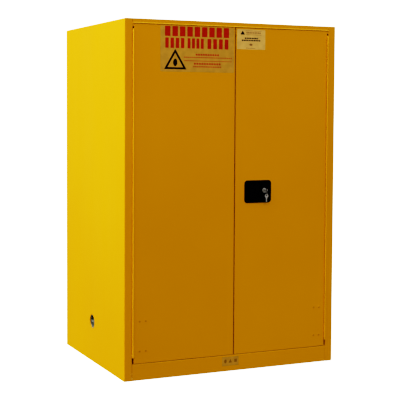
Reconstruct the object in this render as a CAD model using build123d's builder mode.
from build123d import *
import os

# A free-standing two-door steel cabinet for flammable liquids.
# Frame: origin at floor level under the middle of the cabinet, +X to the right of someone who faces the
# doors, the doors face -Y, +Z up. Millimetres, real size.
os.makedirs("parts", exist_ok=True)

SIDES = {"left": -1, "right": 1}

# Overall size and sheet
WIDTH = 1098
DEPTH = 867
HEIGHT = 1651
SHEET = 1.2  # 18 gauge steel
AIR_GAP = 38  # insulating space inside every double wall
WALL = AIR_GAP + 2 * SHEET
BEND = 1.8  # radius of a fold, on the middle of the sheet
PAST = 1  # how far a cutting block runs past the metal it cuts

SIDE_X = WIDTH / 2
FRONT = -DEPTH / 2
BACK = DEPTH / 2
CAP_HEIGHT = 4  # depth of the shallow top cap
CAP_Z = HEIGHT - CAP_HEIGHT
CAP_BEND = 2.85
BOTTOM_Z = 25  # underside of the bottom sheet, above the skirt

# Door opening
JAMB_X = 511  # face of each jamb that looks at its door edge
STOP_X = 498.6  # inner end of each side stop
STOP_Y = FRONT + 39.8  # face that the closed doors come up to
LIP_Y = STOP_Y + SHEET
SILL_Z = 76
SUMP_DEPTH = 51
SILL_LIP_Z = 115  # top of the leakproof sill
SILL_LIP = 12  # how far the sill's top edge is turned in
SILL_RETURN = 20  # how far the sill's foot is turned in
HEADER_Z = 1629
HEADER_BEND = 1  # the header's folds are tighter than the other folds
LEDGE = 2.5  # how far the header's lower edge stands out over the doors
LEDGE_TOP_Z = 1635
CORNER_TAB = (504.8, 1614)  # inner end and foot of the tabs that close the frame above each hinge
HEADER_STOP = 10  # how far the stop above the doors hangs below the ceiling

# Inner box
INNER_X = SIDE_X - WALL
INNER_BACK = BACK - WALL
CEILING_Z = HEIGHT - WALL
FLOOR_Z = SILL_LIP_Z - SUMP_DEPTH

# Doors
DOOR_BACK = FRONT + 38
DOOR_BOTTOM = 77.5
DOOR_TOP = 1628
DOOR_EDGE_X = 504  # hinge-side edge of each door
SEAM_X = {"left": 3.5, "right": 7.5}  # free edge of each door
DOOR_X = {"left": (-DOOR_EDGE_X, SEAM_X["left"]), "right": (SEAM_X["right"], DOOR_EDGE_X)}
DOOR_EDGE_R = 1.5
PANEL_FRONT = DOOR_BACK - SHEET
RIVET_X = (444, 474)
RIVET_Z = (135, 273)
RIVET_R = 2.4
RIVET_HEAD_R = 4.6
RIVET_HEAD = 1.2
RIVET_TAIL_R = 3.6
RIVET_TAIL_Y = FRONT + 4
BRACE_X = sum(RIVET_X) / 2  # the hat-section brace stands between the rivets
BRACE_FLANGE = 23  # middle of the brace to the edge of its flange
BRACE_CROWN = 9  # half width of the crown
BRACE_DEPTH = 24
BRACE_END = 20  # brace ends short of the door's ends
BUMPER_R = 5
BUMPER = 1.5
BUMPER_X = (60, 440)
BUMPER_Z = (96, 1620)

# Continuous hinges
HINGE_X = 507.5
HINGE_Y = FRONT - 3.5
PIN_R = 1.95
KNUCKLE_BORE_R = 2
KNUCKLE_R = 3.5
KNUCKLE = 12.7
KNUCKLE_GAP = 0.2
KNUCKLES = 118
HINGE_Z = 107
HINGE_LENGTH = KNUCKLES * KNUCKLE
LEAF_DEPTH = 25

# Latch tray and paddle
FIT = 0.05  # radial clearance of a running fit
CUT_CLEARANCE = 0.5  # round each opening in the door skin
TRAY_X = (57.3, 199.3)
TRAY_Z = (800, 907)
TRAY_CORNER_R = 15
TRAY_FLANGE = 2.2
TRAY_EDGE_R = 1.2
TRAY_WALL = 1.5
WELL_X = (66, 149)  # inside of the recess
WELL_Z = (808, 897)
WELL_DEPTH = 20
PADDLE_PIVOT = (142, FRONT + 5.5)
PADDLE_EDGE_X = 86
PADDLE_Z = (WELL_Z[0] + 2, WELL_Z[1] - 2)
PADDLE_PLATE = 3
PADDLE_LIP = 10  # depth of the edge that fingers pull on
PADDLE_BARREL_R = 5
PADDLE_FACE_Y = PADDLE_PIVOT[1] - PADDLE_BARREL_R
PADDLE_PIN_R = 2
SPRING_Z = (WELL_Z[0] + 34, WELL_Z[1] - 34)  # gap in the barrel for the torsion spring
COIL_R = 2.75
COIL_WIRE_R = 0.5
COIL_PITCH = 1.4
COIL_END = 3  # space above and below the coil

# Lock and keys
LOCK_X = 163
LOCK_Z = 858
LOCK_R = 10.5
LOCK_RIM_R = 12
PLUG_R = 7
TAIL = 6  # square tail that carries the cam
KEYWAY = 19
KEYWAY_CLEARANCE = 0.2
KEY = 2  # thickness of both keys
BLADE = 7
BLADE_LENGTH = 18
BOW_R = 9
BOW_HOLE_R = 3
NECK = 1  # how much wider than the blade the neck is, on each edge
NECK_LENGTH = 12
BITTING = ((5, 1.4), (8, 2.2), (11, 1.0), (14, 1.8))  # distance from the shoulder, depth of each cut
RING_R = 9
RING_WIRE_R = 0.8
SPARE_TIP_Z = 804
TRAY_FACE_Y = FRONT - TRAY_FLANGE
LOCK_FACE_Y = TRAY_FACE_Y - 2
PLUG_FACE_Y = LOCK_FACE_Y - 0.6
BOW_Y = PLUG_FACE_Y - BOW_R - NECK_LENGTH
RING_Z = LOCK_Z - 1.6 - RING_R
SPARE_HOLE_Z = RING_Z - RING_R - 1.9
SPARE_BOW_Z = SPARE_HOLE_Z - 3

# Cam and three-point bolts. Each cam pin sits on a diagonal, so a quarter turn moves it by the throw.
BOLT_THROW = 12.7
CAM_PIN_REACH = BOLT_THROW / 2
CAM_PIN_CIRCLE_R = BOLT_THROW / 2**0.5
CAM_PIN_R = 2
CAM_R = 14
CAM_Y = (-411.5, -408.5)
LOCK_BACK_Y = CAM_Y[0] - 1
BAR = 2  # thickness of the latch bars
BOLT_Y = -407.5  # front face of each bar, one layer behind the other
LOWER_ROD_Y = -405
UPPER_ROD_Y = -402.5
ROD_WIDTH = 12
UPPER_ROD_X = (LOCK_X + 2, LOCK_X + 2 + ROD_WIDTH)
LOWER_ROD_X = (LOCK_X - 2 - ROD_WIDTH, LOCK_X - 2)
BOLT_BAR_Z = (LOCK_Z + 10, LOCK_Z + 20)
BOLT_PIN_X = LOCK_X + CAM_PIN_REACH
SLOT_HALF = CAM_PIN_R + 0.45  # half width of each bar's cam slot
SLOT_NEAR = CAM_PIN_REACH - SLOT_HALF  # ends of each cam slot, from the lock's axis
SLOT_FAR = CAM_PIN_CIRCLE_R + SLOT_HALF
YOKE = 3  # metal round each cam slot
YOKE_Z = CAM_PIN_REACH + SLOT_HALF + YOKE
YOKE_BELOW_BOLT = 3  # lower end of the centre bolt's yoke, above the lock's axis
STRIKE_CLEARANCE = 1.5
STRIKE_PLATE = 3
STRIKE_MARGIN = 14
STRIKE_DEPTH = 18
BOLT_STRIKE = 2.5
BOLT_STRIKE_MARGIN = 16
GUIDE = 20  # height of each rod guide
GUIDE_WALL = 4
GUIDE_FRONT = 2
GUIDE_CLEARANCE = 0.4
UPPER_GUIDE_Z = (1150, DOOR_TOP - 60)
LOWER_GUIDE_Z = (500, DOOR_BOTTOM + 40)
BOLT_GUIDE_X = (30, 50)

# Shelves
SHELF_X = 495
SHELF_Y = (-372, 388)
SHELF_TOPS = {"lower": 560, "upper": 1070}
SHELF_FLANGE = 30
STANDARD_Y = 300
STANDARD_Z = (150, 1560)
STANDARD_DEPTH = 5
STANDARD_WIDTH = 20
STANDARD_SHEET = 1.5
STANDARD_X = INNER_X - STANDARD_DEPTH  # face that looks into the cabinet
SLOT_PITCH = 50
SLOT_COUNT = 27
SLOT_SIZE = (5, 14)
CLIP = 3
CLIP_WIDTH = 16
CLIP_HEIGHT = 22

# Vents: one low on the left side, one high on the right
VENT_Y = 20
VENT_Z = {"left": 196, "right": 1455}
VENT_BORE_R = 34
VENT_COLLAR_R = 36
VENT_COLLAR_LIP = 3  # how far the collar stands into the cabinet
BUNG_R = VENT_BORE_R - 0.08
BUNG_OUT = SIDE_X - 4
BUNG_IN = SIDE_X - 27
BUNG_RIM = 5
BUNG_CUP = 12
BUNG_BAR = 10  # width of the bar that a spanner turns
BUNG_BAR_OUT = BUNG_OUT - 2
BUNG_BAR_END = 3
SCREEN_R = VENT_BORE_R - 0.1
SCREEN = 1.5
SCREEN_X = INNER_X + 1
SCREEN_HOLE_R = 2.2
SCREEN_RINGS = {7: 6, 14: 12, 21: 18}  # radius of each ring of holes, and how many it has

# Grounding stud
GROUND_X = -430
GROUND_Z = 150
GROUND_SHANK_R = 3.5
GROUND_THREAD_R = 3
GROUND_HEAD_R = 9
GROUND_HEAD_Y = BACK - 4
GROUND_SHOULDER_Y = BACK + 7
GROUND_TIP_Y = BACK + 18
GROUND_NUT = 5.4
GROUND_NUT_R = 6.5
GROUND_WASHER = 1.6
GROUND_WASHER_R = 8.5

# Levelling feet
FOOT_X = 470
FOOT_Y = 360
FEET = {
    "front_left": (-FOOT_X, -FOOT_Y),
    "front_right": (FOOT_X, -FOOT_Y),
    "rear_left": (-FOOT_X, FOOT_Y),
    "rear_right": (FOOT_X, FOOT_Y),
}
FOOT_PAD = 8
FOOT_PAD_R = 19
FOOT_STUD_R = 5
FOOT_STUD_Z = 60
FOOT_PLATE = 3
FOOT_PLATE_WIDTH = 60
FOOT_PLATE_Z = BOTTOM_Z + SHEET + FOOT_PLATE
FOOT_NUT = 8
FOOT_NUT_R = 9.8


def block(x, y, z, mode=Mode.ADD):
    """Rectangular block between two limits on each axis, in the part being built."""
    with Locations(((x[0] + x[1]) / 2, (y[0] + y[1]) / 2, (z[0] + z[1]) / 2)):
        Box(abs(x[1] - x[0]), abs(y[1] - y[0]), abs(z[1] - z[0]), mode=mode)


def along_x(radius, x, y, z, mode=Mode.ADD):
    """Cylinder along X between two limits, in the part being built."""
    with Locations(((x[0] + x[1]) / 2, y, z)):
        Cylinder(radius, abs(x[1] - x[0]), rotation=(0, 90, 0), mode=mode)


def along_y(radius, x, y, z, mode=Mode.ADD):
    """Cylinder along Y between two limits, in the part being built."""
    with Locations((x, (y[0] + y[1]) / 2, z)):
        Cylinder(radius, abs(y[1] - y[0]), rotation=(90, 0, 0), mode=mode)


def along_z(radius, x, y, z, mode=Mode.ADD):
    """Cylinder along Z between two limits, in the part being built."""
    with Locations((x, y, (z[0] + z[1]) / 2)):
        Cylinder(radius, abs(z[1] - z[0]), mode=mode)


def folded(points, bend=BEND):
    """Section of a folded sheet whose middle follows the points, in the sketch being built."""
    with BuildLine() as middle:
        FilletPolyline(*points, radius=bend)
    trace(middle.line, line_width=SHEET)


def around(middle, half):
    """Limits of a span from its middle and half its width."""
    return (middle - half, middle + half)


# ---------------------------------------------------------------- outer body
# Each outer side is one folded sheet: side wall, front stile, jamb, and the stop that the door closes to.
for side, sign in SIDES.items():
    with BuildPart() as outer_side:
        with BuildSketch():
            folded(
                [
                    (sign * (SIDE_X - SHEET / 2), BACK),
                    (sign * (SIDE_X - SHEET / 2), FRONT + SHEET / 2),
                    (sign * (JAMB_X + SHEET / 2), FRONT + SHEET / 2),
                    (sign * (JAMB_X + SHEET / 2), STOP_Y + SHEET / 2),
                    (sign * STOP_X, STOP_Y + SHEET / 2),
                ]
            )
        extrude(amount=CAP_Z)
        hole_x = (sign * (SIDE_X - SHEET - PAST), sign * (SIDE_X + PAST))
        along_x(VENT_COLLAR_R, hole_x, VENT_Y, VENT_Z[side], Mode.SUBTRACT)
    outer_side.part.label = f"outer_{side}_side"
    export_step(outer_side.part, f"parts/outer_{side}_side.step")

with BuildPart() as outer_back:
    block((-SIDE_X + SHEET, SIDE_X - SHEET), (BACK - SHEET, BACK), (0, CAP_Z))
    hole_y = (BACK - SHEET - PAST, BACK + PAST)
    along_y(GROUND_SHANK_R, GROUND_X, hole_y, GROUND_Z, Mode.SUBTRACT)
outer_back.part.label = "outer_back"
export_step(outer_back.part, "parts/outer_back.step")

# The top is a shallow cap: its sides roll down to the side walls, its ends are flat rims.
with BuildPart() as outer_top:
    with BuildSketch(Plane.XZ.offset(-(BACK - SHEET))):
        folded(
            [
                (-SIDE_X + SHEET / 2, CAP_Z),
                (-SIDE_X + SHEET / 2, HEIGHT - SHEET / 2),
                (SIDE_X - SHEET / 2, HEIGHT - SHEET / 2),
                (SIDE_X - SHEET / 2, CAP_Z),
            ],
            CAP_BEND,
        )
    extrude(amount=DEPTH - 2 * SHEET)
    for rim_y in (BACK, FRONT + SHEET):
        with BuildSketch(Plane.XZ.offset(-rim_y)) as rim:
            with Locations((0, CAP_Z + CAP_HEIGHT / 2)):
                Rectangle(WIDTH, CAP_HEIGHT)
            fillet(rim.vertices().group_by(Axis.Y)[-1], CAP_BEND + SHEET / 2)
        extrude(amount=SHEET)
outer_top.part.label = "outer_top"
export_step(outer_top.part, "parts/outer_top.step")

with BuildPart() as outer_bottom:
    block((-SIDE_X + SHEET, SIDE_X - SHEET), (LIP_Y, BACK - SHEET), (BOTTOM_Z, BOTTOM_Z + SHEET))
    with Locations((0, 0, BOTTOM_Z + SHEET)):
        with GridLocations(2 * FOOT_X, 2 * FOOT_Y, 2, 2):
            Hole(FOOT_STUD_R + 1, depth=SHEET + PAST)
outer_bottom.part.label = "outer_bottom"
export_step(outer_bottom.part, "parts/outer_bottom.step")

# ---------------------------------------------------------------- door frame
HEADER_CUT_Z = (HEADER_Z - PAST, HEADER_Z + SHEET + STRIKE_PLATE + PAST)
SILL_CUT_Z = (SILL_Z - SHEET - STRIKE_PLATE - PAST, SILL_Z + PAST)


def rod_slot(rod_x, rod_y, z):
    """Slot that a latch rod slides through, cut in the part being built."""
    slot_x = (rod_x[0] - STRIKE_CLEARANCE, rod_x[1] + STRIKE_CLEARANCE)
    slot_y = (rod_y - STRIKE_CLEARANCE, rod_y + BAR + STRIKE_CLEARANCE)
    block(slot_x, slot_y, z, Mode.SUBTRACT)


def fold_relief(z):
    """Notches at both ends of a frame member, clear of the side sheets' folds, in the part being built."""
    for sign in SIDES.values():
        notch_x = (sign * (JAMB_X - 1.5), sign * (JAMB_X + PAST))
        block(notch_x, (STOP_Y - 1.5, STOP_Y + 0.01), z, Mode.SUBTRACT)


# The header's face slopes out to a small ledge over the doors, then runs back to the stop behind them.
with BuildPart() as front_header:
    with BuildSketch(Plane.YZ.offset(-JAMB_X)):
        folded(
            [
                (FRONT + SHEET / 2, CAP_Z),
                (FRONT + SHEET / 2, LEDGE_TOP_Z),
                (FRONT + SHEET / 2 - LEDGE, HEADER_Z + SHEET / 2),
                (STOP_Y, HEADER_Z + SHEET / 2),
            ],
            HEADER_BEND,
        )
    extrude(amount=2 * JAMB_X)
    block((-STOP_X, STOP_X), (STOP_Y, LIP_Y), (CEILING_Z, HEADER_Z + HEADER_STOP))
    for end_x in (-JAMB_X, JAMB_X - SHEET):
        with BuildSketch(Plane.YZ.offset(end_x)):
            Polygon(
                (FRONT + SHEET, LEDGE_TOP_Z),
                (FRONT + SHEET - LEDGE, HEADER_Z + SHEET),
                (FRONT + SHEET, HEADER_Z + SHEET),
                align=None,
            )
        extrude(amount=SHEET)
    for sign in SIDES.values():
        tab_x = (sign * CORNER_TAB[0], sign * JAMB_X)
        block(tab_x, (FRONT, FRONT + SHEET), (CORNER_TAB[1], HEADER_Z + SHEET))
    fold_relief((HEADER_Z - PAST, HEADER_Z + 3))
    rod_slot(UPPER_ROD_X, UPPER_ROD_Y, HEADER_CUT_Z)
front_header.part.label = "front_header"
export_step(front_header.part, "parts/front_header.step")

# The sill stands on the floor in front and rises behind the doors to hold spilt liquid in the sump.
with BuildPart() as front_sill:
    with BuildSketch(Plane.YZ.offset(-JAMB_X)):
        folded(
            [
                (FRONT + SILL_RETURN, SHEET / 2),
                (FRONT + SHEET / 2, SHEET / 2),
                (FRONT + SHEET / 2, SILL_Z - SHEET / 2),
                (STOP_Y, SILL_Z - SHEET / 2),
            ]
        )
    extrude(amount=2 * JAMB_X)
    with BuildSketch(Plane.YZ.offset(-STOP_X)):
        folded(
            [
                (STOP_Y + SHEET / 2, BOTTOM_Z),
                (STOP_Y + SHEET / 2, SILL_LIP_Z - SHEET / 2),
                (LIP_Y + SILL_LIP, SILL_LIP_Z - SHEET / 2),
            ]
        )
    extrude(amount=2 * STOP_X)
    fold_relief((SILL_Z - 3, SILL_Z + PAST))
    rod_slot(LOWER_ROD_X, LOWER_ROD_Y, SILL_CUT_Z)
front_sill.part.label = "front_sill"
export_step(front_sill.part, "parts/front_sill.step")

# Strike plates back up the slots in the header and the sill.
with BuildPart() as rod_strikes:
    strike_y = (STOP_Y - STRIKE_DEPTH, STOP_Y)
    header_x = (UPPER_ROD_X[0] - STRIKE_MARGIN, UPPER_ROD_X[1] + STRIKE_MARGIN)
    block(header_x, strike_y, (HEADER_Z + SHEET, HEADER_Z + SHEET + STRIKE_PLATE))
    rod_slot(UPPER_ROD_X, UPPER_ROD_Y, HEADER_CUT_Z)
    sill_x = (LOWER_ROD_X[0] - STRIKE_MARGIN, LOWER_ROD_X[1] + STRIKE_MARGIN)
    block(sill_x, strike_y, (SILL_Z - SHEET - STRIKE_PLATE, SILL_Z - SHEET))
    rod_slot(LOWER_ROD_X, LOWER_ROD_Y, SILL_CUT_Z)
rod_strikes.part.label = "rod_strikes"
export_step(rod_strikes.part, "parts/rod_strikes.step")

# ---------------------------------------------------------------- inner box
for side, sign in SIDES.items():
    with BuildPart() as inner_side:
        wall_x = (sign * INNER_X, sign * (INNER_X + SHEET))
        block(wall_x, (LIP_Y, INNER_BACK + SHEET), (FLOOR_Z - SHEET, CEILING_Z + SHEET))
        hole_x = (sign * (INNER_X - PAST), sign * (INNER_X + SHEET + PAST))
        along_x(VENT_COLLAR_R, hole_x, VENT_Y, VENT_Z[side], Mode.SUBTRACT)
    inner_side.part.label = f"inner_{side}_side"
    export_step(inner_side.part, f"parts/inner_{side}_side.step")

with BuildPart() as inner_back:
    back_y = (INNER_BACK, INNER_BACK + SHEET)
    block((-INNER_X, INNER_X), back_y, (FLOOR_Z - SHEET, CEILING_Z + SHEET))
inner_back.part.label = "inner_back"
export_step(inner_back.part, "parts/inner_back.step")

with BuildPart() as inner_top:
    block((-INNER_X, INNER_X), (LIP_Y, INNER_BACK), (CEILING_Z, CEILING_Z + SHEET))
inner_top.part.label = "inner_top"
export_step(inner_top.part, "parts/inner_top.step")

with BuildPart() as sump_floor:
    block((-INNER_X, INNER_X), (LIP_Y, INNER_BACK), (FLOOR_Z - SHEET, FLOOR_Z))
sump_floor.part.label = "sump_floor"
export_step(sump_floor.part, "parts/sump_floor.step")

# ---------------------------------------------------------------- shelves
# Four slotted channels stand against the inner sides.
with BuildPart() as shelf_standards:
    for sign in SIDES.values():
        for middle_y in (-STANDARD_Y, STANDARD_Y):
            outside_y = around(middle_y, STANDARD_WIDTH / 2)
            block((sign * STANDARD_X, sign * INNER_X), outside_y, STANDARD_Z)
            inside_x = (sign * (STANDARD_X + STANDARD_SHEET), sign * (INNER_X + PAST))
            inside_y = around(middle_y, STANDARD_WIDTH / 2 - STANDARD_SHEET)
            block(inside_x, inside_y, (STANDARD_Z[0] - PAST, STANDARD_Z[1] + PAST), Mode.SUBTRACT)
    with Locations(Plane.YZ.offset(-INNER_X)):
        with Locations((0, sum(STANDARD_Z) / 2)):
            with GridLocations(2 * STANDARD_Y, SLOT_PITCH, 2, SLOT_COUNT):
                Box(*SLOT_SIZE, 2 * (INNER_X + PAST), mode=Mode.SUBTRACT, rotation=(0, 0, 90))
shelf_standards.part.label = "shelf_standards"
export_step(shelf_standards.part, "parts/shelf_standards.step")

with BuildPart() as shelf_clips:
    for top in SHELF_TOPS.values():
        seat = top - SHELF_FLANGE
        for sign in SIDES.values():
            for middle_y in (-STANDARD_Y, STANDARD_Y):
                clip_y = around(middle_y, CLIP_WIDTH / 2)
                block((sign * (STANDARD_X - CLIP_WIDTH), sign * STANDARD_X), clip_y, (seat - CLIP, seat))
                back_x = (sign * (STANDARD_X - CLIP), sign * STANDARD_X)
                block(back_x, clip_y, (seat - CLIP_HEIGHT, seat - CLIP))
shelf_clips.part.label = "shelf_clips"
export_step(shelf_clips.part, "parts/shelf_clips.step")

# Each shelf is a tray with its four edges turned down.
for place, top in SHELF_TOPS.items():
    with BuildPart() as shelf:
        with BuildSketch(Plane.YZ.offset(-SHELF_X + SHEET)):
            folded(
                [
                    (SHELF_Y[0] + SHEET / 2, top - SHELF_FLANGE),
                    (SHELF_Y[0] + SHEET / 2, top - SHEET / 2),
                    (SHELF_Y[1] - SHEET / 2, top - SHEET / 2),
                    (SHELF_Y[1] - SHEET / 2, top - SHELF_FLANGE),
                ]
            )
        extrude(amount=2 * (SHELF_X - SHEET))
        for end_x in (-SHELF_X, SHELF_X - SHEET):
            with BuildSketch(Plane.YZ.offset(end_x)) as end:
                with Locations((sum(SHELF_Y) / 2, top - SHELF_FLANGE / 2)):
                    Rectangle(SHELF_Y[1] - SHELF_Y[0], SHELF_FLANGE)
                fillet(end.vertices().group_by(Axis.Y)[-1], BEND + SHEET / 2)
            extrude(amount=SHEET)
    shelf.part.label = f"{place}_shelf"
    export_step(shelf.part, f"parts/{place}_shelf.step")

# ---------------------------------------------------------------- vents
for side, sign in SIDES.items():
    with BuildPart() as vent_collar:
        collar_x = (sign * (INNER_X - VENT_COLLAR_LIP), sign * SIDE_X)
        along_x(VENT_COLLAR_R, collar_x, VENT_Y, VENT_Z[side])
        along_x(VENT_BORE_R, collar_x, VENT_Y, VENT_Z[side], Mode.SUBTRACT)
    vent_collar.part.label = f"{side}_vent_collar"
    export_step(vent_collar.part, f"parts/{side}_vent_collar.step")

    # The bung is a threaded steel cup with a bar across it for the spanner.
    with BuildPart() as vent_bung:
        along_x(BUNG_R, (sign * BUNG_OUT, sign * BUNG_IN), VENT_Y, VENT_Z[side])
        cup_x = (sign * (BUNG_OUT + PAST), sign * (BUNG_OUT - BUNG_CUP))
        along_x(BUNG_R - BUNG_RIM, cup_x, VENT_Y, VENT_Z[side], Mode.SUBTRACT)
        bar_x = (sign * BUNG_BAR_OUT, sign * (BUNG_OUT - BUNG_CUP))
        block(bar_x, around(VENT_Y, BUNG_R - BUNG_BAR_END), around(VENT_Z[side], BUNG_BAR / 2))
    vent_bung.part.label = f"{side}_vent_bung"
    export_step(vent_bung.part, f"parts/{side}_vent_bung.step")

with BuildPart() as flame_arresters:
    for side, sign in SIDES.items():
        along_x(SCREEN_R, (sign * SCREEN_X, sign * (SCREEN_X + SCREEN)), VENT_Y, VENT_Z[side])
        with Locations(Plane.YZ.offset(sign * (SCREEN_X + SCREEN / 2))):
            with Locations((VENT_Y, VENT_Z[side])):
                for ring_r, count in SCREEN_RINGS.items():
                    with PolarLocations(ring_r, count):
                        Cylinder(SCREEN_HOLE_R, SCREEN + 2 * PAST, mode=Mode.SUBTRACT)
flame_arresters.part.label = "flame_arresters"
export_step(flame_arresters.part, "parts/flame_arresters.step")

# ---------------------------------------------------------------- grounding stud
with BuildPart() as ground_stud:
    along_y(GROUND_SHANK_R, GROUND_X, (GROUND_HEAD_Y, GROUND_SHOULDER_Y), GROUND_Z)
    along_y(GROUND_THREAD_R, GROUND_X, (GROUND_SHOULDER_Y, GROUND_TIP_Y), GROUND_Z)
    along_y(GROUND_HEAD_R, GROUND_X, (GROUND_HEAD_Y, BACK - SHEET), GROUND_Z)
    chamfer(ground_stud.faces().sort_by(Axis.Y)[-1].edges(), 0.5)
ground_stud.part.label = "ground_stud"
export_step(ground_stud.part, "parts/ground_stud.step")

with BuildPart() as ground_nut:
    with BuildSketch(Plane.XZ.offset(-GROUND_SHOULDER_Y)):
        with Locations((GROUND_X, GROUND_Z)):
            RegularPolygon(GROUND_NUT_R, 6)
            Circle(GROUND_SHANK_R, mode=Mode.SUBTRACT)
    extrude(amount=GROUND_NUT)
    with BuildSketch(Plane.XZ.offset(-(BACK + GROUND_WASHER))):
        with Locations((GROUND_X, GROUND_Z)):
            Circle(GROUND_WASHER_R)
            Circle(GROUND_SHANK_R, mode=Mode.SUBTRACT)
    extrude(amount=GROUND_WASHER)
ground_nut.part.label = "ground_nut"
export_step(ground_nut.part, "parts/ground_nut.step")

# ---------------------------------------------------------------- levelling feet
for place, (foot_x, foot_y) in FEET.items():
    with BuildPart() as foot:
        along_z(FOOT_PAD_R, foot_x, foot_y, (0, FOOT_PAD))
        fillet(foot.edges().filter_by(GeomType.CIRCLE), 2)
        along_z(FOOT_STUD_R, foot_x, foot_y, (FOOT_PAD, FOOT_STUD_Z))
        chamfer(foot.faces().sort_by(Axis.Z)[-1].edges(), 1)
    foot.part.label = f"{place}_foot"
    export_step(foot.part, f"parts/{place}_foot.step")

# Each nut is welded to a square plate that spreads the load on the bottom sheet.
with BuildPart() as foot_nuts:
    with Locations(Plane.XY.offset(FOOT_PLATE_Z)):
        with GridLocations(2 * FOOT_X, 2 * FOOT_Y, 2, 2):
            Box(
                FOOT_PLATE_WIDTH,
                FOOT_PLATE_WIDTH,
                FOOT_PLATE,
                align=(Align.CENTER, Align.CENTER, Align.MAX),
            )
    with BuildSketch(Plane.XY.offset(FOOT_PLATE_Z)):
        with GridLocations(2 * FOOT_X, 2 * FOOT_Y, 2, 2):
            RegularPolygon(FOOT_NUT_R, 6)
    extrude(amount=FOOT_NUT)
    with Locations(Plane.XY.offset(FOOT_PLATE_Z + FOOT_NUT)):
        with GridLocations(2 * FOOT_X, 2 * FOOT_Y, 2, 2):
            Hole(FOOT_STUD_R + FIT)
foot_nuts.part.label = "foot_nuts"
export_step(foot_nuts.part, "parts/foot_nuts.step")


# ---------------------------------------------------------------- continuous hinges
# Frame and door knuckles take turns up the pin; the frame has the first and the last.
def hinge_leaf(sign, toward_frame, first_cut):
    """One leaf with its knuckles, in the part being built. The other leaf's knuckles are cut clear."""
    axis_x = sign * HINGE_X
    leaf_x = axis_x + sign * toward_frame * (KNUCKLE_BORE_R + KNUCKLE_R) / 2
    leaf_depth = LEAF_DEPTH + KNUCKLE_R
    with BuildSketch(Plane.XY.offset(HINGE_Z)) as section:
        with Locations((axis_x, HINGE_Y)):
            Circle(KNUCKLE_R)
        with Locations((leaf_x, HINGE_Y + leaf_depth / 2)):
            Rectangle(KNUCKLE_R - KNUCKLE_BORE_R, leaf_depth)
        with Locations((axis_x, HINGE_Y)):
            Circle(KNUCKLE_BORE_R, mode=Mode.SUBTRACT)
    extrude(section.sketch, amount=HINGE_LENGTH)
    middles = [HINGE_Z + (number + 0.5) * KNUCKLE for number in range(first_cut, KNUCKLES, 2)]
    cut = (2 * (KNUCKLE_R + PAST), 2 * KNUCKLE_R + 0.6, KNUCKLE + KNUCKLE_GAP)
    with Locations(*[(axis_x, HINGE_Y, middle) for middle in middles]):
        Box(*cut, mode=Mode.SUBTRACT)


for side, sign in SIDES.items():
    with BuildPart() as frame_leaf:
        hinge_leaf(sign, 1, 1)
    frame_leaf.part.label = f"{side}_hinge_frame_leaf"
    export_step(frame_leaf.part, f"parts/{side}_hinge_frame_leaf.step")

    with BuildPart() as door_leaf:
        hinge_leaf(sign, -1, 0)
    door_leaf.part.label = f"{side}_hinge_door_leaf"
    export_step(door_leaf.part, f"parts/{side}_hinge_door_leaf.step")

    with BuildPart() as hinge_pin:
        along_z(PIN_R, sign * HINGE_X, HINGE_Y, (HINGE_Z - 0.5, HINGE_Z + HINGE_LENGTH + 0.5))
    hinge_pin.part.label = f"{side}_hinge_pin"
    export_step(hinge_pin.part, f"parts/{side}_hinge_pin.step")


# ---------------------------------------------------------------- doors
def door_pan(x):
    """Outer skin of a door with its four edges turned back, in the part being built."""
    block(x, (FRONT, PANEL_FRONT), (DOOR_BOTTOM, DOOR_TOP))
    fillet(faces().sort_by(Axis.Y)[0].edges(), DOOR_EDGE_R)
    inside_x = (x[0] + SHEET, x[1] - SHEET)
    inside_z = (DOOR_BOTTOM + SHEET, DOOR_TOP - SHEET)
    block(inside_x, (FRONT + SHEET, PANEL_FRONT + PAST), inside_z, Mode.SUBTRACT)


def rivet_cylinders(sign, radius, y, mode=Mode.ADD):
    """Four cylinders on the rivets' places on one door, in the part being built."""
    for rivet_x in RIVET_X:
        for rivet_z in RIVET_Z:
            along_y(radius, sign * rivet_x, y, rivet_z, mode)


def bolt_slot(x):
    """Slot for the centre bolt in a door edge, cut in the part being built."""
    slot_y = (BOLT_Y - 1, BOLT_Y + BAR + 1)
    block(x, slot_y, (BOLT_BAR_Z[0] - 1, BOLT_BAR_Z[1] + 1), Mode.SUBTRACT)


SKIN_CUT_Y = (FRONT - PAST, FRONT + 2 * SHEET + PAST)

with BuildPart() as left_door_skin:
    door_pan(DOOR_X["left"])
    rivet_cylinders(SIDES["left"], RIVET_R, SKIN_CUT_Y, Mode.SUBTRACT)
    bolt_slot((SEAM_X["left"] - SHEET - PAST, SEAM_X["left"] + PAST))
left_door_skin.part.label = "left_door_skin"
export_step(left_door_skin.part, "parts/left_door_skin.step")

with BuildPart() as right_door_skin:
    door_pan(DOOR_X["right"])
    rivet_cylinders(SIDES["right"], RIVET_R, SKIN_CUT_Y, Mode.SUBTRACT)
    bolt_slot((SEAM_X["right"] - PAST, SEAM_X["right"] + SHEET + PAST))
    rod_slot(UPPER_ROD_X, UPPER_ROD_Y, (DOOR_TOP - SHEET - PAST, DOOR_TOP + PAST))
    rod_slot(LOWER_ROD_X, LOWER_ROD_Y, (DOOR_BOTTOM - PAST, DOOR_BOTTOM + SHEET + PAST))
    margin = TRAY_WALL + CUT_CLEARANCE
    cut_x = (WELL_X[0] - margin, WELL_X[1] + margin)
    cut_z = (WELL_Z[0] - margin, WELL_Z[1] + margin)
    block(cut_x, SKIN_CUT_Y, cut_z, Mode.SUBTRACT)
    along_y(LOCK_R + CUT_CLEARANCE, LOCK_X, SKIN_CUT_Y, LOCK_Z, Mode.SUBTRACT)
right_door_skin.part.label = "right_door_skin"
export_step(right_door_skin.part, "parts/right_door_skin.step")

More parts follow.
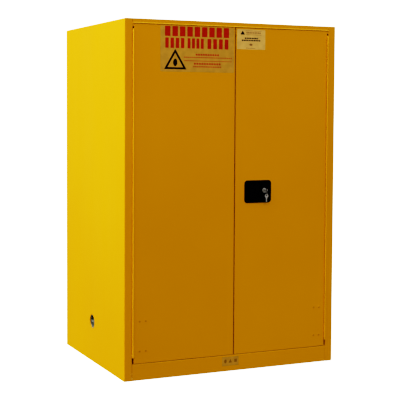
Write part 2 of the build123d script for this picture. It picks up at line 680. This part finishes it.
for side, sign in SIDES.items():
    with BuildPart() as door_panel:
        block(DOOR_X[side], (PANEL_FRONT, DOOR_BACK), (DOOR_BOTTOM, DOOR_TOP))
    door_panel.part.label = f"{side}_door_inner_panel"
    export_step(door_panel.part, f"parts/{side}_door_inner_panel.step")

    # Hat-section brace behind the hinge side of the skin, riveted at its foot.
    with BuildPart() as brace:
        with BuildSketch(Plane.XY.offset(DOOR_BOTTOM + BRACE_END)):
            folded(
                [
                    (sign * (BRACE_X - BRACE_FLANGE), FRONT + 1.5 * SHEET),
                    (sign * (BRACE_X - BRACE_CROWN), FRONT + 1.5 * SHEET),
                    (sign * (BRACE_X - BRACE_CROWN), FRONT + BRACE_DEPTH),
                    (sign * (BRACE_X + BRACE_CROWN), FRONT + BRACE_DEPTH),
                    (sign * (BRACE_X + BRACE_CROWN), FRONT + 1.5 * SHEET),
                    (sign * (BRACE_X + BRACE_FLANGE), FRONT + 1.5 * SHEET),
                ]
            )
        extrude(amount=DOOR_TOP - DOOR_BOTTOM - 2 * BRACE_END)
        rivet_cylinders(sign, RIVET_R, SKIN_CUT_Y, Mode.SUBTRACT)
    brace.part.label = f"{side}_door_brace"
    export_step(brace.part, f"parts/{side}_door_brace.step")

    with BuildPart() as rivets:
        rivet_cylinders(sign, RIVET_HEAD_R, (FRONT - RIVET_HEAD, FRONT))
        fillet(rivets.faces().group_by(Axis.Y)[0].edges(), 0.9)
        rivet_cylinders(sign, RIVET_R, (FRONT, FRONT + 2 * SHEET))
        rivet_cylinders(sign, RIVET_TAIL_R, (FRONT + 2 * SHEET, RIVET_TAIL_Y))
    rivets.part.label = f"{side}_door_rivets"
    export_step(rivets.part, f"parts/{side}_door_rivets.step")

    # Rubber buttons that meet the header and the sill lip.
    with BuildPart() as bumpers:
        for bumper_x in BUMPER_X:
            for bumper_z in BUMPER_Z:
                along_y(BUMPER_R, sign * bumper_x, (DOOR_BACK, DOOR_BACK + BUMPER), bumper_z)
        chamfer(bumpers.faces().group_by(Axis.Y)[-1].edges(), 0.5)
    bumpers.part.label = f"{side}_door_bumpers"
    export_step(bumpers.part, f"parts/{side}_door_bumpers.step")

# The centre bolt's strike sits inside the left door's free edge.
with BuildPart() as bolt_strike:
    strike_x = (SEAM_X["left"] - SHEET - BOLT_STRIKE, SEAM_X["left"] - SHEET)
    strike_z = (BOLT_BAR_Z[0] - BOLT_STRIKE_MARGIN, BOLT_BAR_Z[1] + BOLT_STRIKE_MARGIN)
    block(strike_x, (BOLT_Y - 8, BOLT_Y + 10), strike_z)
    bolt_slot((strike_x[0] - PAST, strike_x[1] + PAST))
bolt_strike.part.label = "bolt_strike"
export_step(bolt_strike.part, "parts/bolt_strike.step")

# ---------------------------------------------------------------- latch tray and paddle
with BuildPart() as latch_tray:
    with BuildSketch(Plane.XZ.offset(-FRONT)):
        with Locations((sum(TRAY_X) / 2, sum(TRAY_Z) / 2)):
            RectangleRounded(TRAY_X[1] - TRAY_X[0], TRAY_Z[1] - TRAY_Z[0], TRAY_CORNER_R)
    extrude(amount=TRAY_FLANGE)
    fillet(latch_tray.faces().sort_by(Axis.Y)[0].edges(), TRAY_EDGE_R)
    pan_x = (WELL_X[0] - TRAY_WALL, WELL_X[1] + TRAY_WALL)
    pan_z = (WELL_Z[0] - TRAY_WALL, WELL_Z[1] + TRAY_WALL)
    block(pan_x, (FRONT, FRONT + WELL_DEPTH), pan_z)
    block(WELL_X, (TRAY_FACE_Y - PAST, FRONT + WELL_DEPTH - TRAY_WALL), WELL_Z, Mode.SUBTRACT)
    along_z(PADDLE_PIN_R, *PADDLE_PIVOT, (pan_z[0] - PAST, pan_z[1] + PAST), Mode.SUBTRACT)
    along_y(LOCK_R, LOCK_X, (TRAY_FACE_Y - PAST, FRONT + PAST), LOCK_Z, Mode.SUBTRACT)
latch_tray.part.label = "latch_tray"
export_step(latch_tray.part, "parts/latch_tray.step")

with BuildPart() as paddle:
    with BuildSketch(Plane.XY.offset(PADDLE_Z[0])) as outline:
        with Locations(PADDLE_PIVOT):
            Circle(PADDLE_BARREL_R)
        with Locations(((PADDLE_EDGE_X + PADDLE_PIVOT[0]) / 2, PADDLE_FACE_Y + PADDLE_PLATE / 2)):
            Rectangle(PADDLE_PIVOT[0] - PADDLE_EDGE_X, PADDLE_PLATE)
        with Locations((PADDLE_EDGE_X + PADDLE_PLATE / 2, PADDLE_FACE_Y + PADDLE_LIP / 2)):
            Rectangle(PADDLE_PLATE, PADDLE_LIP)
        fillet(outline.vertices().group_by(Axis.X)[0], 1.2)
        with Locations(PADDLE_PIVOT):
            Circle(PADDLE_PIN_R + FIT, mode=Mode.SUBTRACT)
    extrude(amount=PADDLE_Z[1] - PADDLE_Z[0])
    gap_x = (PADDLE_PIVOT[0] - PADDLE_BARREL_R - 3, PADDLE_PIVOT[0] + PADDLE_BARREL_R + PAST)
    gap_y = (PADDLE_FACE_Y + PADDLE_PLATE / 2, PADDLE_PIVOT[1] + PADDLE_BARREL_R + PAST)
    block(gap_x, gap_y, SPRING_Z, Mode.SUBTRACT)
paddle.part.label = "paddle"
export_step(paddle.part, "parts/paddle.step")

with BuildPart() as paddle_pin:
    along_z(PADDLE_PIN_R, *PADDLE_PIVOT, (WELL_Z[0] - TRAY_WALL, WELL_Z[1] + TRAY_WALL))
paddle_pin.part.label = "paddle_pin"
export_step(paddle_pin.part, "parts/paddle_pin.step")

# Torsion spring: a close coil round the pin, inside the gap in the barrel.
with BuildPart() as paddle_spring:
    with BuildLine(Plane((*PADDLE_PIVOT, SPRING_Z[0] + COIL_END))) as coil:
        Helix(COIL_PITCH, SPRING_Z[1] - SPRING_Z[0] - 2 * COIL_END, COIL_R)
    with BuildSketch(Plane(origin=coil.line @ 0, z_dir=coil.line % 0)):
        Circle(COIL_WIRE_R)
    sweep(path=coil.line, is_frenet=True)
paddle_spring.part.label = "paddle_spring"
export_step(paddle_spring.part, "parts/paddle_spring.step")

# ---------------------------------------------------------------- lock, keys and cam
with BuildPart() as lock_body:
    along_y(LOCK_RIM_R, LOCK_X, (LOCK_FACE_Y, TRAY_FACE_Y), LOCK_Z)
    fillet(lock_body.faces().sort_by(Axis.Y)[0].edges(), 1)
    along_y(LOCK_R, LOCK_X, (TRAY_FACE_Y, LOCK_BACK_Y), LOCK_Z)
    along_y(PLUG_R + FIT, LOCK_X, (LOCK_FACE_Y - PAST, LOCK_BACK_Y + PAST), LOCK_Z, Mode.SUBTRACT)
lock_body.part.label = "lock_body"
export_step(lock_body.part, "parts/lock_body.step")

TAIL_X = around(LOCK_X, TAIL / 2)
TAIL_Z = around(LOCK_Z, TAIL / 2)
with BuildPart() as lock_plug:
    along_y(PLUG_R, LOCK_X, (PLUG_FACE_Y, LOCK_BACK_Y), LOCK_Z)
    block(TAIL_X, (LOCK_BACK_Y, CAM_Y[1]), TAIL_Z)
    keyway_x = around(LOCK_X, KEY / 2 + KEYWAY_CLEARANCE)
    keyway_z = around(LOCK_Z, BLADE / 2 + KEYWAY_CLEARANCE)
    block(keyway_x, (PLUG_FACE_Y - PAST, PLUG_FACE_Y + KEYWAY), keyway_z, Mode.SUBTRACT)
lock_plug.part.label = "lock_plug"
export_step(lock_plug.part, "parts/lock_plug.step")

# The cam carries three pins on its back, each long enough for its own bar.
CAM_PINS = {
    (1, 1): BOLT_Y + BAR,
    (-1, 1): LOWER_ROD_Y + BAR,
    (1, -1): UPPER_ROD_Y + BAR,
}
with BuildPart() as lock_cam:
    along_y(CAM_R, LOCK_X, CAM_Y, LOCK_Z)
    block(TAIL_X, (CAM_Y[0] - PAST, CAM_Y[1] + PAST), TAIL_Z, Mode.SUBTRACT)
    for (pin_x, pin_z), pin_end in CAM_PINS.items():
        middle = (LOCK_X + pin_x * CAM_PIN_REACH, LOCK_Z + pin_z * CAM_PIN_REACH)
        along_y(CAM_PIN_R, middle[0], (CAM_Y[1], pin_end), middle[1])
lock_cam.part.label = "lock_cam"
export_step(lock_cam.part, "parts/lock_cam.step")

KEY_X = around(LOCK_X, KEY / 2)
KEY_CUT_X = around(LOCK_X, KEY)
with BuildPart() as key:
    along_x(BOW_R, KEY_X, BOW_Y, LOCK_Z)
    block(KEY_X, (BOW_Y, PLUG_FACE_Y - 0.4), around(LOCK_Z, BLADE / 2 + NECK))
    block(KEY_X, (BOW_Y, PLUG_FACE_Y + BLADE_LENGTH), around(LOCK_Z, BLADE / 2))
    along_x(BOW_HOLE_R, KEY_CUT_X, BOW_Y, LOCK_Z, Mode.SUBTRACT)
    for distance, cut in BITTING:
        with Locations((LOCK_X, PLUG_FACE_Y + distance, LOCK_Z + BLADE / 2)):
            Box(2 * KEY, cut * 2**0.5, cut * 2**0.5, rotation=(45, 0, 0), mode=Mode.SUBTRACT)
key.part.label = "key"
export_step(key.part, "parts/key.step")

# The ring hangs in the bow's hole and carries the spare key, both turned out to face the left.
BUNCH = Plane(origin=(LOCK_X, BOW_Y, 0), x_dir=(1, 1, 0), z_dir=(0, 0, 1))
with BuildPart(BUNCH) as key_ring:
    with Locations((0, 0, RING_Z)):
        Torus(RING_R, RING_WIRE_R, rotation=(90, 0, 0))
key_ring.part.label = "key_ring"
export_step(key_ring.part, "parts/key_ring.step")

SPARE_NECK_Z = SPARE_BOW_Z - BOW_R - 2
SPARE_X = around(0, KEY / 2)
with BuildPart(BUNCH) as spare_key:
    along_x(BOW_R, SPARE_X, 0, SPARE_BOW_Z)
    block(SPARE_X, around(0, BLADE / 2 + NECK), (SPARE_NECK_Z, SPARE_BOW_Z))
    block(SPARE_X, around(0, BLADE / 2), (SPARE_TIP_Z, SPARE_BOW_Z))
    chamfer(spare_key.faces().sort_by(Axis.Z)[0].edges().sort_by(SortBy.LENGTH)[:2], 2)
    along_x(BOW_HOLE_R, around(0, KEY), 0, SPARE_HOLE_Z, Mode.SUBTRACT)
    for distance, cut in BITTING:
        with Locations((0, -BLADE / 2, SPARE_NECK_Z + 1.2 - distance)):
            Box(2 * KEY, cut * 2**0.5, cut * 2**0.5, rotation=(45, 0, 0), mode=Mode.SUBTRACT)
spare_key.part.label = "spare_key"
export_step(spare_key.part, "parts/spare_key.step")


# ---------------------------------------------------------------- three-point bolts
# Each bar has a slot across its travel for its cam pin. All three are drawn back: the lock is open.
def rod(x, y, z, pin_x, pin_z):
    """Flat latch rod with a level cam slot, in the part being built."""
    block(x, (y, y + BAR), z)
    slot_x = (LOCK_X + pin_x * SLOT_NEAR, LOCK_X + pin_x * SLOT_FAR)
    slot_z = around(LOCK_Z + pin_z * CAM_PIN_REACH, SLOT_HALF)
    block(slot_x, (y - PAST, y + BAR + PAST), slot_z, Mode.SUBTRACT)


with BuildPart() as upper_rod:
    rod(UPPER_ROD_X, UPPER_ROD_Y, (LOCK_Z - YOKE_Z, DOOR_TOP - 1), 1, -1)
upper_rod.part.label = "upper_rod"
export_step(upper_rod.part, "parts/upper_rod.step")

with BuildPart() as lower_rod:
    rod(LOWER_ROD_X, LOWER_ROD_Y, (DOOR_BOTTOM + 1, LOCK_Z + YOKE_Z), -1, 1)
lower_rod.part.label = "lower_rod"
export_step(lower_rod.part, "parts/lower_rod.step")

# The centre bolt's slot is upright and hangs below its bar, clear of the two longer pins.
with BuildPart() as centre_bolt:
    bar_y = (BOLT_Y, BOLT_Y + BAR)
    yoke_x = around(BOLT_PIN_X, SLOT_HALF + YOKE)
    block((SEAM_X["right"] + 1, yoke_x[1]), bar_y, BOLT_BAR_Z)
    block(yoke_x, bar_y, (LOCK_Z + YOKE_BELOW_BOLT, BOLT_BAR_Z[0]))
    slot_z = (LOCK_Z + SLOT_NEAR, LOCK_Z + SLOT_FAR)
    cut_y = (BOLT_Y - PAST, BOLT_Y + BAR + PAST)
    block(around(BOLT_PIN_X, SLOT_HALF), cut_y, slot_z, Mode.SUBTRACT)
centre_bolt.part.label = "centre_bolt"
export_step(centre_bolt.part, "parts/centre_bolt.step")


def guide(x, y, z):
    """Block on the inner panel with a slot that a latch rod slides through, in the part being built."""
    block((x[0] - GUIDE_WALL, x[1] + GUIDE_WALL), (y - GUIDE_FRONT, PANEL_FRONT), z)
    slot_x = (x[0] - GUIDE_CLEARANCE, x[1] + GUIDE_CLEARANCE)
    slot_y = (y - GUIDE_CLEARANCE, y + BAR + GUIDE_CLEARANCE)
    block(slot_x, slot_y, (z[0] - PAST, z[1] + PAST), Mode.SUBTRACT)


# Guides stand on the door's inner panel and keep each bar in its own layer.
with BuildPart() as rod_guides:
    for guide_z in UPPER_GUIDE_Z:
        guide(UPPER_ROD_X, UPPER_ROD_Y, (guide_z, guide_z + GUIDE))
    for guide_z in LOWER_GUIDE_Z:
        guide(LOWER_ROD_X, LOWER_ROD_Y, (guide_z, guide_z + GUIDE))
    wall_z = (BOLT_BAR_Z[0] - GUIDE_WALL, BOLT_BAR_Z[1] + GUIDE_WALL)
    block(BOLT_GUIDE_X, (BOLT_Y - GUIDE_FRONT, PANEL_FRONT), wall_z)
    slot_x = (BOLT_GUIDE_X[0] - PAST, BOLT_GUIDE_X[1] + PAST)
    slot_y = (BOLT_Y - GUIDE_CLEARANCE, BOLT_Y + BAR + GUIDE_CLEARANCE)
    slot_z = (BOLT_BAR_Z[0] - GUIDE_CLEARANCE, BOLT_BAR_Z[1] + GUIDE_CLEARANCE)
    block(slot_x, slot_y, slot_z, Mode.SUBTRACT)
rod_guides.part.label = "rod_guides"
export_step(rod_guides.part, "parts/rod_guides.step")
